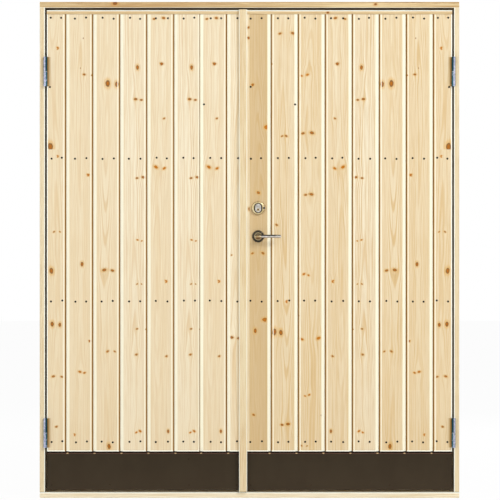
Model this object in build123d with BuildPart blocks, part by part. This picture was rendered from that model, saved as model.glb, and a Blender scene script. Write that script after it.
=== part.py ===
from build123d import *
import os

# An outward-opening pair of boarded leaves in their frame, seen from outside:
# +X to the right, +Y into the building, +Z up, all lengths in millimetres.
# The origin is the middle of the sill's underside.

os.makedirs("parts", exist_ok=True)

# Frame: one rebated section all round
frame_width = 1768.0
frame_height = 2090.0
frame_depth = 92.0
frame_timber = 42.0
frame_face = 25.0
arris = 1.5

# Leaf: boards on a core of stiles and rails
board_thick = 22.0
core_thick = 34.0
seal_space = 4.0
side_gap = 5.0
top_gap = 8.0
sill_gap = 8.0
meeting_line = -26.5
meeting_gap = 6.0

# Stiles, rails and their tenons
stile_width = 95.0
lock_stile_width = 120.0
rail_height = 95.0
lower_rail_height = 140.0
lower_rail_level = 215.0
middle_rail_level = 830.0
upper_rail_level = 1430.0
tenon_thick = 12.0
tenon_length = 40.0
tenon_shoulder = 12.0
mortise_slack = 0.5

# Boards: a wide bevel on one edge, a steep one on the other. Full boards share what
# the narrow board at the hinges leaves, and one board of the left leaf is ripped down.
boards_per_leaf = 8
hinge_board_cover = 80.4
ripped_off = 5.3
joint_gap = 3.0
bevel_width = 13.5
bevel_drop = 4.0
steep_width = 2.0
steep_drop = 5.0
tongue_top = 8.0
tongue_thick = 6.0
tongue_reach = 7.0
tongue_play = 0.3
tongue_end_play = 1.0
back_joint = 0.5
drip_rise = 8.0

# Strips and kick plates
top_strip_height = 18.5
strip_shadow = 1.0
kick_height = 156.0
kick_thick = 12.0
drip_gap = 6.5
kick_edge = 1.0
meeting_strip_thick = 16.0
meeting_strip_lap = 14.5
meeting_strip_hold = 13.5
meeting_strip_arris = 2.5
meeting_strip_foot = 27.0
meeting_strip_clearance = 1.0

# Hinges
lower_hinge_rise = 241.0
upper_hinge_drop = 261.0
hinge_axis_out = 0.5
hinge_axis_stand = 8.5
knuckle_radius = 8.0
hinge_length = 124.0
hinge_washer_thick = 2.0
washer_gap = 0.1
pin_radius = 4.5
pin_play = 0.05
pin_reach = 47.0
wing_thick = 2.5
wing_reach = 38.0
wing_corner = 5.0
hinge_screw_spread = 44.0
hinge_screw_inset = 30.0
hinge_screw_length = 22.0

# Countersunk screws
screw_head_radius = 4.2
screw_shank_radius = 2.1
screw_tip = 3.0

# Lock
backset = 60.0
spindle_level = 1102.0
cylinder_level = 1221.0
case_thick = 14.0
case_level = 1158.0
case_beyond_spindle = 24.0
forend_width = 20.0
forend_height = 236.0
forend_thick = 3.0
forend_overrun = 16.0
forend_screw_end = 9.0
forend_screw_length = 20.0
latch_level = 1128.0
latch_height = 21.0
latch_length = 44.0
dead_bolt_level = 1192.0
dead_bolt_height = 27.0
dead_bolt_length = 58.0
bolt_thick = 11.0
bolt_clearance = 0.3
bolt_setback = 0.5
bolt_end_room = 1.0
latch_throw = 13.0
dead_bolt_throw = 20.0
strike_clearance = 2.5
strike_room = 3.0
strike_height = 170.0
strike_width = 24.0
strike_rise = 2.0
strike_screw_end = 11.0

# Handles
spindle_width = 8.0
spindle_play = 0.1
spindle_reach = 30.0
through_hole_radius = 11.0
follower_radius = 9.8
follower_play = 0.05
rosette_radius = 25.5
rosette_thick = 9.0
rosette_edge = 4.0
neck_radius = 14.0
neck_play = 0.4
neck_length = 13.0
lever_radius = 6.5
lever_stand = 50.0
lever_reach = 99.0
lever_return = 12.0
lever_bend = 16.0

# Cylinder outside, thumb turn inside
ring_radius = 28.0
ring_front_radius = 24.5
ring_thick = 12.0
ring_window_width = 35.0
ring_window_height = 42.6
cylinder_width = 26.0
cylinder_height = 37.0
cylinder_stand = 11.0
flange_thick = 3.0
flange_play = 0.4
cylinder_hole_play = 0.5
plug_radius = 6.5
plug_play = 0.05
plug_drop = 7.0
keyway_width = 1.8
keyway_height = 8.5
keyway_deep = 22.0
lug_radius = 4.5
lug_thick = 13.0
turn_tail_radius = 5.9
turn_tail_play = 0.1
turn_neck_radius = 9.0
turn_neck_play = 0.4
turn_blade_width = 34.0
turn_blade_thick = 8.0
turn_blade_reach = 15.0

# Bolts on the inside of the left leaf
rod_inset = 38.0
rod_radius = 5.0
rod_play = 0.1
rod_stand = 16.0
rod_length = 166.0
rod_setback = 2.0
rod_knob_radius = 4.0
rod_knob_reach = 16.0
rod_throw = 20.0
bracket_width = 36.0
bracket_height = 130.0
bracket_thick = 2.5
bracket_setback = 16.0
guide_width = 18.0
guide_wall = 3.0
guide_height = 14.0
guide_spread = 92.0
bracket_screw_spread = 112.0
bracket_screw_side = 12.0
bracket_screw_length = 16.0
keep_width = 60.0
keep_depth = 22.0
keep_thick = 2.5
keep_hole_length = 22.0
keep_hole_width = 16.0
keep_hole_corner = 2.0
keep_pocket = 25.0
keep_screw_spread = 42.0
keep_screw_length = 18.0

# Weather seal
seal_stem = 3.0
seal_stem_deep = 6.0
seal_bulb = 8.0
seal_leaf_gap = 0.3
seal_end_gap = 0.3

# Fixing holes through the jambs
fixing_radius = 7.0
fixing_count = 4
fixing_spacing = 600.0
fixing_foot = 145.0
fixing_inset = 30.0

# Screws of the kick plates: insets from the plates' edges, and shares of their width
kick_foot_inset = 20.0
kick_head_inset = 26.0
kick_hinge_inset = 21.0
right_kick_inset = 27.5
left_kick_inset = 23.2
right_kick_shares = (0.320, 0.699)
left_kick_shares = (0.275, 0.680)
kick_screw_length = 34.0

# Screws that hold the meeting strip from inside, some below the lock and some above
strip_screw_end = 57.0
strip_screw_lock_gap = 90.0
strip_screws_each_way = 3
strip_screw_length = 66.0
over_cut = 1.0

# Planes and edges that follow from the sizes above
front_y = -frame_depth / 2
core_y = front_y + board_thick
back_y = core_y + core_thick
core_middle_y = (core_y + back_y) / 2
leaf_middle_y = (front_y + back_y) / 2
stop_y = back_y + seal_space
rear_y = frame_depth / 2
opening_edge = frame_width / 2 - frame_face
stop_edge = frame_width / 2 - frame_timber
leaf_edge = opening_edge - side_gap
leaf_foot = frame_face + sill_gap
leaf_head = frame_height - frame_face - top_gap
right_meet = meeting_line + meeting_gap / 2
left_meet = meeting_line - meeting_gap / 2
board_foot = leaf_foot + kick_height + drip_gap
board_head = leaf_head - top_strip_height - strip_shadow
board_cover = (leaf_edge - right_meet - hinge_board_cover) / (boards_per_leaf - 1)
spindle_x = right_meet + backset
hinge_axis_x = opening_edge + hinge_axis_out
hinge_axis_y = front_y - hinge_axis_stand
hinge_levels = (leaf_foot + lower_hinge_rise, leaf_head - upper_hinge_drop)
case_height = forend_height - 2 * forend_overrun
rail_sizes = (
    (leaf_foot + rail_height / 2, rail_height),
    (lower_rail_level, lower_rail_height),
    (middle_rail_level, rail_height),
    (upper_rail_level, rail_height),
    (leaf_head - rail_height / 2, rail_height),
)


def facing(y):
    """A plane parallel to the leaves at depth y, looking out, with x right and y up."""
    return Plane.XZ.offset(-y)


def pieces(part, name):
    """Label a finished sub-part and write it."""
    part.part.label = name
    export_step(part.part, f"parts/{name}.step")


def both_sides(right):
    """The right-hand piece and its mirror image, as one group."""
    with BuildPart() as pair:
        add(right.part)
        mirror(right.part, about=Plane.YZ)
    return pair


def mirrored(right):
    """The mirror image of a right-hand piece."""
    with BuildPart() as left:
        mirror(right.part, about=Plane.YZ)
    return left


def countersunk(length):
    """A countersunk screw along -Z, its head flush with the plane through the origin."""
    sink = screw_head_radius - screw_shank_radius
    with BuildPart() as screw:
        with BuildSketch(Plane.XZ):
            with BuildLine():
                Polyline(
                    (0, 0),
                    (screw_head_radius, 0),
                    (screw_shank_radius, -sink),
                    (screw_shank_radius, screw_tip - length),
                    (0, -length),
                    close=True,
                )
            make_face()
        revolve(axis=Axis.Z)
    return screw.part


def screws_at(planes, length):
    """One screw in each of the planes given, heads towards their normals."""
    one = countersunk(length)
    with BuildPart() as group:
        with Locations(*planes):
            add(one)
    return group


def sideways(x, direction, spots):
    """Planes at x that face left or right, one for each (y, z) spot."""
    return [Plane(origin=(x, y, z), z_dir=(direction, 0, 0)) for y, z in spots]


def outwards(y, direction, spots):
    """Planes at depth y that face out or in, one for each (x, z) spot."""
    return [Plane(origin=(x, y, z), z_dir=(0, direction, 0)) for x, z in spots]


# Screw places that two or more pieces share
hinge_screw_spots = [
    (front_y + hinge_screw_inset, level + step * hinge_screw_spread)
    for level in hinge_levels
    for step in (-1, 0, 1)
]
jamb_screw_planes = sideways(opening_edge, -1, hinge_screw_spots)
leaf_screw_planes = sideways(leaf_edge, 1, hinge_screw_spots)

# Places of the left leaf's bolts and their keeps
rod_x = left_meet - rod_inset
rod_y = back_y + rod_stand
upper_keep_z = frame_height - frame_timber
lower_keep_z = frame_timber
keep_screw_x = (rod_x - keep_screw_spread / 2, rod_x + keep_screw_spread / 2)


def frame_section(base, up):
    """Corners of the rebated section as (depth, height), visible face towards -Y."""
    return (
        (front_y, base),
        (rear_y, base),
        (rear_y, base + up * frame_timber),
        (stop_y, base + up * frame_timber),
        (stop_y, base + up * frame_face),
        (front_y, base + up * frame_face),
    )


def keep_hole():
    """The rounded hole that a rod shoots into, as a sketch about the origin."""
    return RectangleRounded(keep_hole_length, keep_hole_width, keep_hole_corner)


def wing_outline():
    """Outlines of the hinge wings in a sketch of (depth, height), open to the front."""
    reach = wing_reach + knuckle_radius
    middle = front_y + wing_reach - reach / 2
    with Locations(*[(middle, level) for level in hinge_levels]):
        RectangleRounded(reach, hinge_length, wing_corner)


seal_inset = (leaf_edge - stop_edge) / 2
lower_seal_z = frame_timber - (frame_timber - leaf_foot) / 2
upper_seal_z = frame_height - frame_timber + (leaf_head - frame_height + frame_timber) / 2
side_seal_x = stop_edge + seal_inset
seal_middle_y = stop_y + seal_stem_deep / 2

# Sill and head run right across, over the ends of the jambs
with BuildPart() as frame_sill:
    with BuildSketch(Plane.YZ):
        with BuildLine():
            Polyline(*frame_section(0, 1), close=True)
        make_face()
    extrude(amount=frame_width / 2, both=True)
    chamfer(frame_sill.edges().filter_by(Axis.X).group_by(Axis.Y)[0], arris)
    with Locations((0, seal_middle_y, lower_seal_z)):
        Box(2 * leaf_edge, seal_stem_deep, seal_stem, mode=Mode.SUBTRACT)
    with Locations((rod_x, rod_y, lower_keep_z - keep_thick / 2)):
        Box(keep_width, keep_depth, keep_thick, mode=Mode.SUBTRACT)
    with BuildSketch(Plane((rod_x, rod_y, lower_keep_z))):
        keep_hole()
    extrude(amount=-keep_pocket, mode=Mode.SUBTRACT)
    with Locations(*[(x, rod_y, lower_keep_z) for x in keep_screw_x]):
        Hole(screw_shank_radius, keep_screw_length)
pieces(frame_sill, "frame_sill")

with BuildPart() as frame_head:
    with BuildSketch(Plane.YZ):
        with BuildLine():
            Polyline(*frame_section(frame_height, -1), close=True)
        make_face()
    extrude(amount=frame_width / 2, both=True)
    chamfer(frame_head.edges().filter_by(Axis.X).group_by(Axis.Y)[0], arris)
    with Locations((0, seal_middle_y, upper_seal_z)):
        Box(2 * leaf_edge, seal_stem_deep, seal_stem, mode=Mode.SUBTRACT)
    with Locations((rod_x, rod_y, upper_keep_z + keep_thick / 2)):
        Box(keep_width, keep_depth, keep_thick, mode=Mode.SUBTRACT)
    with BuildSketch(Plane((rod_x, rod_y, upper_keep_z))):
        keep_hole()
    extrude(amount=keep_pocket, mode=Mode.SUBTRACT)
    with Locations(*[Plane((x, rod_y, upper_keep_z), z_dir=(0, 0, -1)) for x in keep_screw_x]):
        Hole(screw_shank_radius, keep_screw_length)
pieces(frame_head, "frame_head")

# Jambs, scribed over the stops of head and sill
with BuildPart() as right_jamb:
    with BuildSketch(Plane.XY.offset(frame_face)):
        with BuildLine():
            Polyline(
                (frame_width / 2, front_y),
                (frame_width / 2, rear_y),
                (stop_edge, rear_y),
                (stop_edge, stop_y),
                (opening_edge, stop_y),
                (opening_edge, front_y),
                close=True,
            )
        make_face()
    extrude(amount=frame_height - 2 * frame_face)
    chamfer(right_jamb.edges().filter_by(Axis.Z).group_by(Axis.Y)[0], arris)
    stop_depth = rear_y - stop_y
    for level in (frame_timber / 2, frame_height - frame_timber / 2):
        with Locations((frame_width / 2, stop_y + stop_depth / 2, level)):
            Box(2 * frame_timber, stop_depth, frame_timber, mode=Mode.SUBTRACT)
    with Locations((side_seal_x, seal_middle_y, frame_height / 2)):
        Box(seal_stem, seal_stem_deep, frame_height, mode=Mode.SUBTRACT)
    with BuildSketch(Plane.YZ.offset(opening_edge)):
        wing_outline()
    extrude(amount=wing_thick, mode=Mode.SUBTRACT)
    with Locations(*jamb_screw_planes):
        Hole(screw_shank_radius, hinge_screw_length)
    fixings = [
        (front_y + fixing_inset, fixing_foot + step * fixing_spacing)
        for step in range(fixing_count)
    ]
    with Locations(*sideways(frame_width / 2, 1, fixings)):
        Hole(fixing_radius, frame_timber)
left_jamb = mirrored(right_jamb)
pieces(right_jamb, "right_jamb")
pieces(left_jamb, "left_jamb")


def seal_bulb_length():
    """How far the bulb stands out of the stop before it meets the leaf."""
    return seal_space - seal_leaf_gap


def seal_outline(middle):
    """Stem and rounded bulb, as a sketch of (depth, height) about height middle."""
    reach = seal_bulb_length()
    with BuildSketch() as outline:
        with Locations((stop_y - reach / 2, middle)):
            Rectangle(reach, seal_bulb)
        fillet(outline.vertices().group_by(Axis.X)[0], reach / 2)
        with Locations((seal_middle_y, middle)):
            Rectangle(seal_stem_deep, seal_stem)
    return outline.sketch


# Weather seal: one length in the stop of each frame member
with BuildPart() as frame_seals:
    with BuildSketch(Plane.YZ):
        add(seal_outline(lower_seal_z))
        add(seal_outline(upper_seal_z))
    extrude(amount=leaf_edge - seal_end_gap, both=True)
    seal_foot = frame_timber + seal_end_gap
    with BuildSketch(Plane.XY.offset(seal_foot)):
        with Locations((side_seal_x, stop_y - seal_bulb_length() / 2)):
            Rectangle(seal_bulb, seal_bulb_length())
        with Locations((side_seal_x, seal_middle_y)):
            Rectangle(seal_stem, seal_stem_deep)
    side_seal = extrude(amount=frame_height - 2 * seal_foot)
    mirror(side_seal, about=Plane.YZ)
pieces(frame_seals, "frame_seals")


# Hinges: the leaf's half lifts off the frame's half
def hinge_half(wing_x, up):
    """Knuckles, wings and necks of the right-hand pair, upper (1) or lower (-1) halves."""
    half_length = (hinge_length - hinge_washer_thick) / 2
    start = up * hinge_washer_thick / 2
    neck = front_y + seal_leaf_gap - hinge_axis_y
    with BuildPart() as half:
        with BuildSketch(Plane.YZ.offset(wing_x)):
            wing_outline()
            with Locations(*[(front_y - frame_depth / 2, level) for level in hinge_levels]):
                Rectangle(frame_depth, hinge_length + over_cut, mode=Mode.SUBTRACT)
            with Locations(
                *[
                    (hinge_axis_y + neck / 2, level + start + up * half_length / 2)
                    for level in hinge_levels
                ]
            ):
                Rectangle(neck, half_length)
        extrude(amount=wing_thick)
        knuckles = [
            (hinge_axis_x, hinge_axis_y, level + start + up * half_length / 2)
            for level in hinge_levels
        ]
        with Locations(*knuckles):
            Cylinder(knuckle_radius, half_length)
    return half


with BuildPart() as right_hinge_halves:
    add(hinge_half(leaf_edge - wing_thick, 1).part)
    play = pin_radius + pin_play
    with Locations(*[(hinge_axis_x, hinge_axis_y, level) for level in hinge_levels]):
        Cylinder(
            play,
            pin_reach + over_cut,
            align=(Align.CENTER, Align.CENTER, Align.MIN),
            mode=Mode.SUBTRACT,
        )
    with Locations(*leaf_screw_planes):
        CounterSinkHole(screw_shank_radius, screw_head_radius, hinge_length, 90)
left_hinge_halves = mirrored(right_hinge_halves)
pieces(right_hinge_halves, "right_hinge_halves")
pieces(left_hinge_halves, "left_hinge_halves")

with BuildPart() as right_frame_halves:
    add(hinge_half(opening_edge, -1).part)
    with Locations(*[(hinge_axis_x, hinge_axis_y, level) for level in hinge_levels]):
        Cylinder(
            pin_radius,
            pin_reach,
            align=(Align.CENTER, Align.CENTER, Align.MAX),
            mode=Mode.SUBTRACT,
        )
    with Locations(*jamb_screw_planes):
        CounterSinkHole(screw_shank_radius, screw_head_radius, wing_thick, 90)
hinge_frame_halves = both_sides(right_frame_halves)
pieces(hinge_frame_halves, "hinge_frame_halves")

with BuildPart() as right_pins:
    with Locations(*[(hinge_axis_x, hinge_axis_y, level) for level in hinge_levels]):
        Cylinder(pin_radius, 2 * pin_reach)
    chamfer(right_pins.edges().filter_by(GeomType.CIRCLE), arris / 2)
hinge_pins = both_sides(right_pins)
pieces(hinge_pins, "hinge_pins")

with BuildPart() as right_washers:
    with Locations(*[(hinge_axis_x, hinge_axis_y, level) for level in hinge_levels]):
        Cylinder(knuckle_radius, hinge_washer_thick - washer_gap)
        Cylinder(pin_radius + pin_play, hinge_washer_thick, mode=Mode.SUBTRACT)
right_washers.part.position += (0, 0, -washer_gap / 2)
hinge_washers = both_sides(right_washers)
pieces(hinge_washers, "hinge_washers")

hinge_frame_screws = both_sides(screws_at(jamb_screw_planes, hinge_screw_length))
pieces(hinge_frame_screws, "hinge_frame_screws")
right_hinge_screws = screws_at(leaf_screw_planes, hinge_screw_length)
left_hinge_screws = mirrored(right_hinge_screws)
pieces(right_hinge_screws, "right_hinge_screws")
pieces(left_hinge_screws, "left_hinge_screws")


# Stiles with mortises, rails with tenons
def stile(near, far, tenon_side):
    """A stile from x near to x far, mortised in its left (-1) or right (1) edge."""
    width = far - near
    depth = tenon_length + mortise_slack
    edge = far if tenon_side > 0 else near
    with BuildPart() as blank:
        with Locations(((near + far) / 2, core_middle_y, (leaf_foot + leaf_head) / 2)):
            Box(width, core_thick, leaf_head - leaf_foot)
        for level, height in rail_sizes:
            with Locations((edge - tenon_side * depth / 2, core_middle_y, level)):
                Box(depth, tenon_thick, height - 2 * tenon_shoulder, mode=Mode.SUBTRACT)
    return blank


def rails(near, far):
    """Five rails between the stiles' edges at x near and far, with a tenon at each end."""
    middle = (near + far) / 2
    with BuildPart() as group:
        for level, height in rail_sizes:
            with Locations((middle, core_middle_y, level)):
                Box(far - near, core_thick, height)
                Box(far - near + 2 * tenon_length, tenon_thick, height - 2 * tenon_shoulder)
    return group


def kick_planes(meet, hinge_edge, inset, shares):
    """Screw planes of the plate from x meet to hinge_edge: two end columns and two between."""
    width = abs(hinge_edge - meet)
    side = (hinge_edge - meet) / width
    runs = [inset] + [share * width for share in shares] + [width - kick_hinge_inset]
    rows = (leaf_foot + kick_foot_inset, leaf_foot + kick_height - kick_head_inset)
    return outwards(
        core_y - kick_thick, -1, [(meet + side * run, row) for run in runs for row in rows]
    )


def evenly(low, high, count):
    """Heights spread evenly from low to high, both ends included."""
    return [low + step * (high - low) / (count - 1) for step in range(count)]


right_kick_planes = kick_planes(right_meet, leaf_edge, right_kick_inset, right_kick_shares)
left_kick_planes = kick_planes(left_meet, -leaf_edge, left_kick_inset, left_kick_shares)
strip_screw_x = right_meet + meeting_strip_hold / 2
strip_lock_room = case_height / 2 + strip_screw_lock_gap
strip_screw_levels = evenly(
    leaf_foot + strip_screw_end, case_level - strip_lock_room, strip_screws_each_way
) + evenly(case_level + strip_lock_room, leaf_head - strip_screw_end, strip_screws_each_way)
strip_screw_planes = outwards(back_y, 1, [(strip_screw_x, z) for z in strip_screw_levels])

stile_edge = leaf_edge - stile_width
with BuildPart() as right_hinge_stile:
    add(stile(stile_edge, leaf_edge, -1).part)
    with BuildSketch(Plane.YZ.offset(leaf_edge - wing_thick)):
        wing_outline()
    extrude(amount=wing_thick, mode=Mode.SUBTRACT)
    with Locations(*leaf_screw_planes):
        Hole(screw_shank_radius, hinge_screw_length)
    with Locations(*[plane for plane in right_kick_planes if plane.origin.X > stile_edge]):
        Hole(screw_shank_radius, kick_screw_length)
left_hinge_stile = mirrored(right_hinge_stile)
pieces(right_hinge_stile, "right_hinge_stile")
pieces(left_hinge_stile, "left_hinge_stile")

lock_stile_edge = right_meet + lock_stile_width
case_back_x = spindle_x + case_beyond_spindle
with BuildPart() as right_meeting_stile:
    add(stile(right_meet, lock_stile_edge, 1).part)
    with Locations((right_meet + forend_thick / 2, core_middle_y, case_level)):
        Box(forend_thick, forend_width, forend_height, mode=Mode.SUBTRACT)
    with Locations(((right_meet + case_back_x) / 2, core_middle_y, case_level)):
        Box(case_back_x - right_meet, case_thick, case_height, mode=Mode.SUBTRACT)
    with Locations((spindle_x, core_middle_y, spindle_level)):
        Cylinder(through_hole_radius, 2 * core_thick, rotation=(90, 0, 0), mode=Mode.SUBTRACT)
    with BuildSketch(facing(core_middle_y)):
        with Locations((spindle_x, cylinder_level)):
            SlotOverall(
                cylinder_height + 2 * cylinder_hole_play,
                cylinder_width + 2 * cylinder_hole_play,
                rotation=90,
            )
    extrude(amount=core_thick, mode=Mode.SUBTRACT)
    with Locations((spindle_x, back_y, cylinder_level)):
        Cylinder(through_hole_radius, core_thick, rotation=(90, 0, 0), mode=Mode.SUBTRACT)
    forend_screw_reach = forend_height / 2 - forend_screw_end
    forend_spots = [
        (core_middle_y, case_level + side * forend_screw_reach) for side in (-1, 1)
    ]
    forend_screw_planes = sideways(right_meet, -1, forend_spots)
    with Locations(*forend_screw_planes):
        Hole(screw_shank_radius, forend_screw_length)
    with Locations(*strip_screw_planes):
        CounterSinkHole(screw_shank_radius, screw_head_radius, core_thick, 90)
    with Locations(*[plane for plane in right_kick_planes if plane.origin.X < lock_stile_edge]):
        Hole(screw_shank_radius, kick_screw_length)
pieces(right_meeting_stile, "right_meeting_stile")

# The left leaf's meeting stile takes the strike and the bolts' brackets
left_stile_edge = left_meet - stile_width
strike_spots = (
    (latch_level, latch_height, latch_throw),
    (dead_bolt_level, dead_bolt_height, dead_bolt_throw),
)
strike_level = case_level + strike_rise
strike_screw_reach = strike_height / 2 - strike_screw_end
strike_screw_spots = [
    (core_middle_y, strike_level + side * strike_screw_reach) for side in (-1, 1)
]
strike_screw_planes = sideways(left_meet, 1, strike_screw_spots)
upper_rod_top = upper_keep_z - rod_setback
lower_rod_foot = lower_keep_z + rod_setback
upper_bracket_z = upper_rod_top - bracket_setback - bracket_height / 2
lower_bracket_z = lower_rod_foot + bracket_setback + bracket_height / 2
bracket_screw_spots = [
    (rod_x + side * bracket_screw_side, level + end * bracket_screw_spread / 2)
    for level in (lower_bracket_z, upper_bracket_z)
    for side, end in ((-1, -1), (1, -1), (-1, 1), (1, 1))
]
bracket_screw_planes = outwards(back_y + bracket_thick, 1, bracket_screw_spots)

with BuildPart() as left_meeting_stile:
    add(stile(left_stile_edge, left_meet, -1).part)
    with Locations((left_meet - forend_thick / 2, core_middle_y, strike_level)):
        Box(forend_thick, strike_width, strike_height, mode=Mode.SUBTRACT)
    for level, height, throw in strike_spots:
        room = throw - bolt_setback + strike_room
        with Locations((right_meet - room / 2, core_middle_y, level)):
            Box(
                room,
                bolt_thick + 2 * strike_clearance,
                height + 2 * strike_clearance,
                mode=Mode.SUBTRACT,
            )
    with Locations(*strike_screw_planes):
        Hole(screw_shank_radius, forend_screw_length)
    with Locations(*bracket_screw_planes):
        Hole(screw_shank_radius, bracket_screw_length)
    with Locations(*[plane for plane in left_kick_planes if plane.origin.X > left_stile_edge]):
        Hole(screw_shank_radius, kick_screw_length)
pieces(left_meeting_stile, "left_meeting_stile")

with BuildPart() as right_rails:
    add(rails(lock_stile_edge, stile_edge).part)
    inner = [p for p in right_kick_planes if lock_stile_edge < p.origin.X < stile_edge]
    with Locations(*inner):
        Hole(screw_shank_radius, kick_screw_length)
pieces(right_rails, "right_rails")

with BuildPart() as left_rails:
    add(rails(-stile_edge, left_stile_edge).part)
    inner = [p for p in left_kick_planes if -stile_edge < p.origin.X < left_stile_edge]
    with Locations(*inner):
        Hole(screw_shank_radius, kick_screw_length)
pieces(left_rails, "left_rails")


# Boards, counted from the hinge edge
def board_section(start, end, first, last):
    """Corners of a board between two joints, as (distance from hinge edge, depth)."""
    half_gap = joint_gap / 2
    tongue_bottom = tongue_top + tongue_thick
    groove_top = tongue_top - tongue_play
    groove_bottom = tongue_bottom + tongue_play
    groove_end = end - tongue_reach - tongue_end_play
    near_square = ((start, board_thick), (start, arris), (start + arris, 0))
    near_tongue = (
        (start + back_joint / 2, board_thick),
        (start + back_joint / 2, tongue_bottom),
        (start - tongue_reach, tongue_bottom),
        (start - tongue_reach, tongue_top),
        (start + half_gap, tongue_top),
        (start + half_gap, bevel_drop),
        (start + half_gap + bevel_width, 0),
    )
    far_square = ((end - arris, 0), (end, arris), (end, board_thick))
    far_groove = (
        (end - half_gap - steep_width, 0),
        (end - half_gap, steep_drop),
        (end - half_gap, groove_top),
        (groove_end, groove_top),
        (groove_end, groove_bottom),
        (end - back_joint / 2, groove_bottom),
        (end - back_joint / 2, board_thick),
    )
    return (near_square if first else near_tongue) + (far_square if last else far_groove)


def leaf_boards(covers, width, side):
    """All boards of a leaf, side 1 for the right leaf and -1 for the left."""
    joints = [0]
    for cover in covers:
        joints.append(joints[-1] + cover)
    joints.append(width)
    count = len(joints) - 1
    with BuildPart() as boards:
        with BuildSketch(Plane.XY.offset(board_foot)):
            for index in range(count):
                section = board_section(
                    joints[index], joints[index + 1], index == 0, index == count - 1
                )
                with BuildLine():
                    Polyline(
                        *[(side * (leaf_edge - s), front_y + d) for s, d in section],
                        close=True,
                    )
                make_face()
        extrude(amount=board_head - board_foot)
        with BuildSketch(Plane.YZ):
            with BuildLine():
                Polyline(
                    (front_y, board_foot),
                    (core_y, board_foot),
                    (core_y, board_foot + drip_rise),
                    close=True,
                )
            make_face()
        extrude(amount=frame_width / 2, both=True, mode=Mode.SUBTRACT)
        with BuildSketch(Plane.YZ.offset(side * (leaf_edge - wing_thick / 2))):
            wing_outline()
        extrude(amount=wing_thick / 2, both=True, mode=Mode.SUBTRACT)
    return boards


with BuildPart() as right_boards:
    covers = [hinge_board_cover] + [board_cover] * (boards_per_leaf - 2)
    add(leaf_boards(covers, leaf_edge - right_meet, 1).part)
    with Locations((spindle_x, front_y, spindle_level)):
        Cylinder(
            through_hole_radius, 3 * board_thick, rotation=(90, 0, 0), mode=Mode.SUBTRACT
        )
    with BuildSketch(facing(core_y)):
        with Locations((spindle_x, cylinder_level)):
            SlotOverall(
                cylinder_height + 2 * cylinder_hole_play,
                cylinder_width + 2 * cylinder_hole_play,
                rotation=90,
            )
    extrude(amount=2 * board_thick, mode=Mode.SUBTRACT)
    with Locations(*[p for p in strip_screw_planes if p.origin.Z > board_foot]):
        Hole(screw_shank_radius, back_y - front_y + over_cut)
pieces(right_boards, "right_boards")

with BuildPart() as left_boards:
    covers = [hinge_board_cover] + [board_cover] * (boards_per_leaf - 2)
    covers[-2] -= ripped_off
    add(leaf_boards(covers, leaf_edge + left_meet, -1).part)
pieces(left_boards, "left_boards")


# Strips over the boards, and kick plates under them
def top_strip(near, far):
    """A square strip over the boards, its outer arrises eased."""
    with BuildPart() as strip:
        with Locations(
            ((near + far) / 2, (front_y + core_y) / 2, leaf_head - top_strip_height / 2)
        ):
            Box(far - near, board_thick, top_strip_height)
        chamfer(strip.edges().filter_by(Axis.X).group_by(Axis.Y)[0], arris)
    return strip


right_top_strip = top_strip(right_meet, leaf_edge)
left_top_strip = top_strip(-leaf_edge, left_meet)
pieces(right_top_strip, "right_top_strip")
pieces(left_top_strip, "left_top_strip")


def kick_plate(near, far, planes):
    """A panel under the boards, let in against the core, with its screw holes."""
    middle_y = core_y - kick_thick / 2
    with BuildPart() as plate:
        with Locations(((near + far) / 2, middle_y, leaf_foot + kick_height / 2)):
            Box(far - near, kick_thick, kick_height)
        chamfer(plate.edges().group_by(Axis.Y)[0], kick_edge)
        with Locations(*planes):
            CounterSinkHole(screw_shank_radius, screw_head_radius, kick_thick, 90)
    return plate


with BuildPart() as right_kick_plate:
    add(kick_plate(right_meet, leaf_edge, right_kick_planes).part)
    with Locations(*[p for p in strip_screw_planes if p.origin.Z < leaf_foot + kick_height]):
        Hole(screw_shank_radius, back_y - front_y + over_cut)
pieces(right_kick_plate, "right_kick_plate")
left_kick_plate = kick_plate(-leaf_edge, left_meet, left_kick_planes)
pieces(left_kick_plate, "left_kick_plate")
pieces(screws_at(right_kick_planes, kick_screw_length), "right_kick_screws")
pieces(screws_at(left_kick_planes, kick_screw_length), "left_kick_screws")

# The meeting strip is held by the right leaf and laps the left one
strip_left = left_meet - meeting_strip_lap
strip_right = right_meet + meeting_strip_hold
strip_face = front_y - meeting_strip_thick
with BuildPart() as meeting_strip:
    with BuildSketch(Plane.XY.offset(meeting_strip_foot)):
        with BuildLine():
            Polyline(
                (strip_left, front_y - meeting_strip_clearance),
                (strip_left, strip_face + meeting_strip_arris),
                (strip_left + meeting_strip_arris, strip_face),
                (strip_right - meeting_strip_arris, strip_face),
                (strip_right, strip_face + meeting_strip_arris),
                (strip_right, front_y),
                (right_meet, front_y),
                (right_meet, front_y - meeting_strip_clearance),
                close=True,
            )
        make_face()
    extrude(amount=leaf_head - meeting_strip_foot)
    with Locations(*strip_screw_planes):
        Hole(screw_shank_radius, strip_screw_length)
pieces(meeting_strip, "meeting_strip")
pieces(screws_at(strip_screw_planes, strip_screw_length), "meeting_strip_screws")


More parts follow.
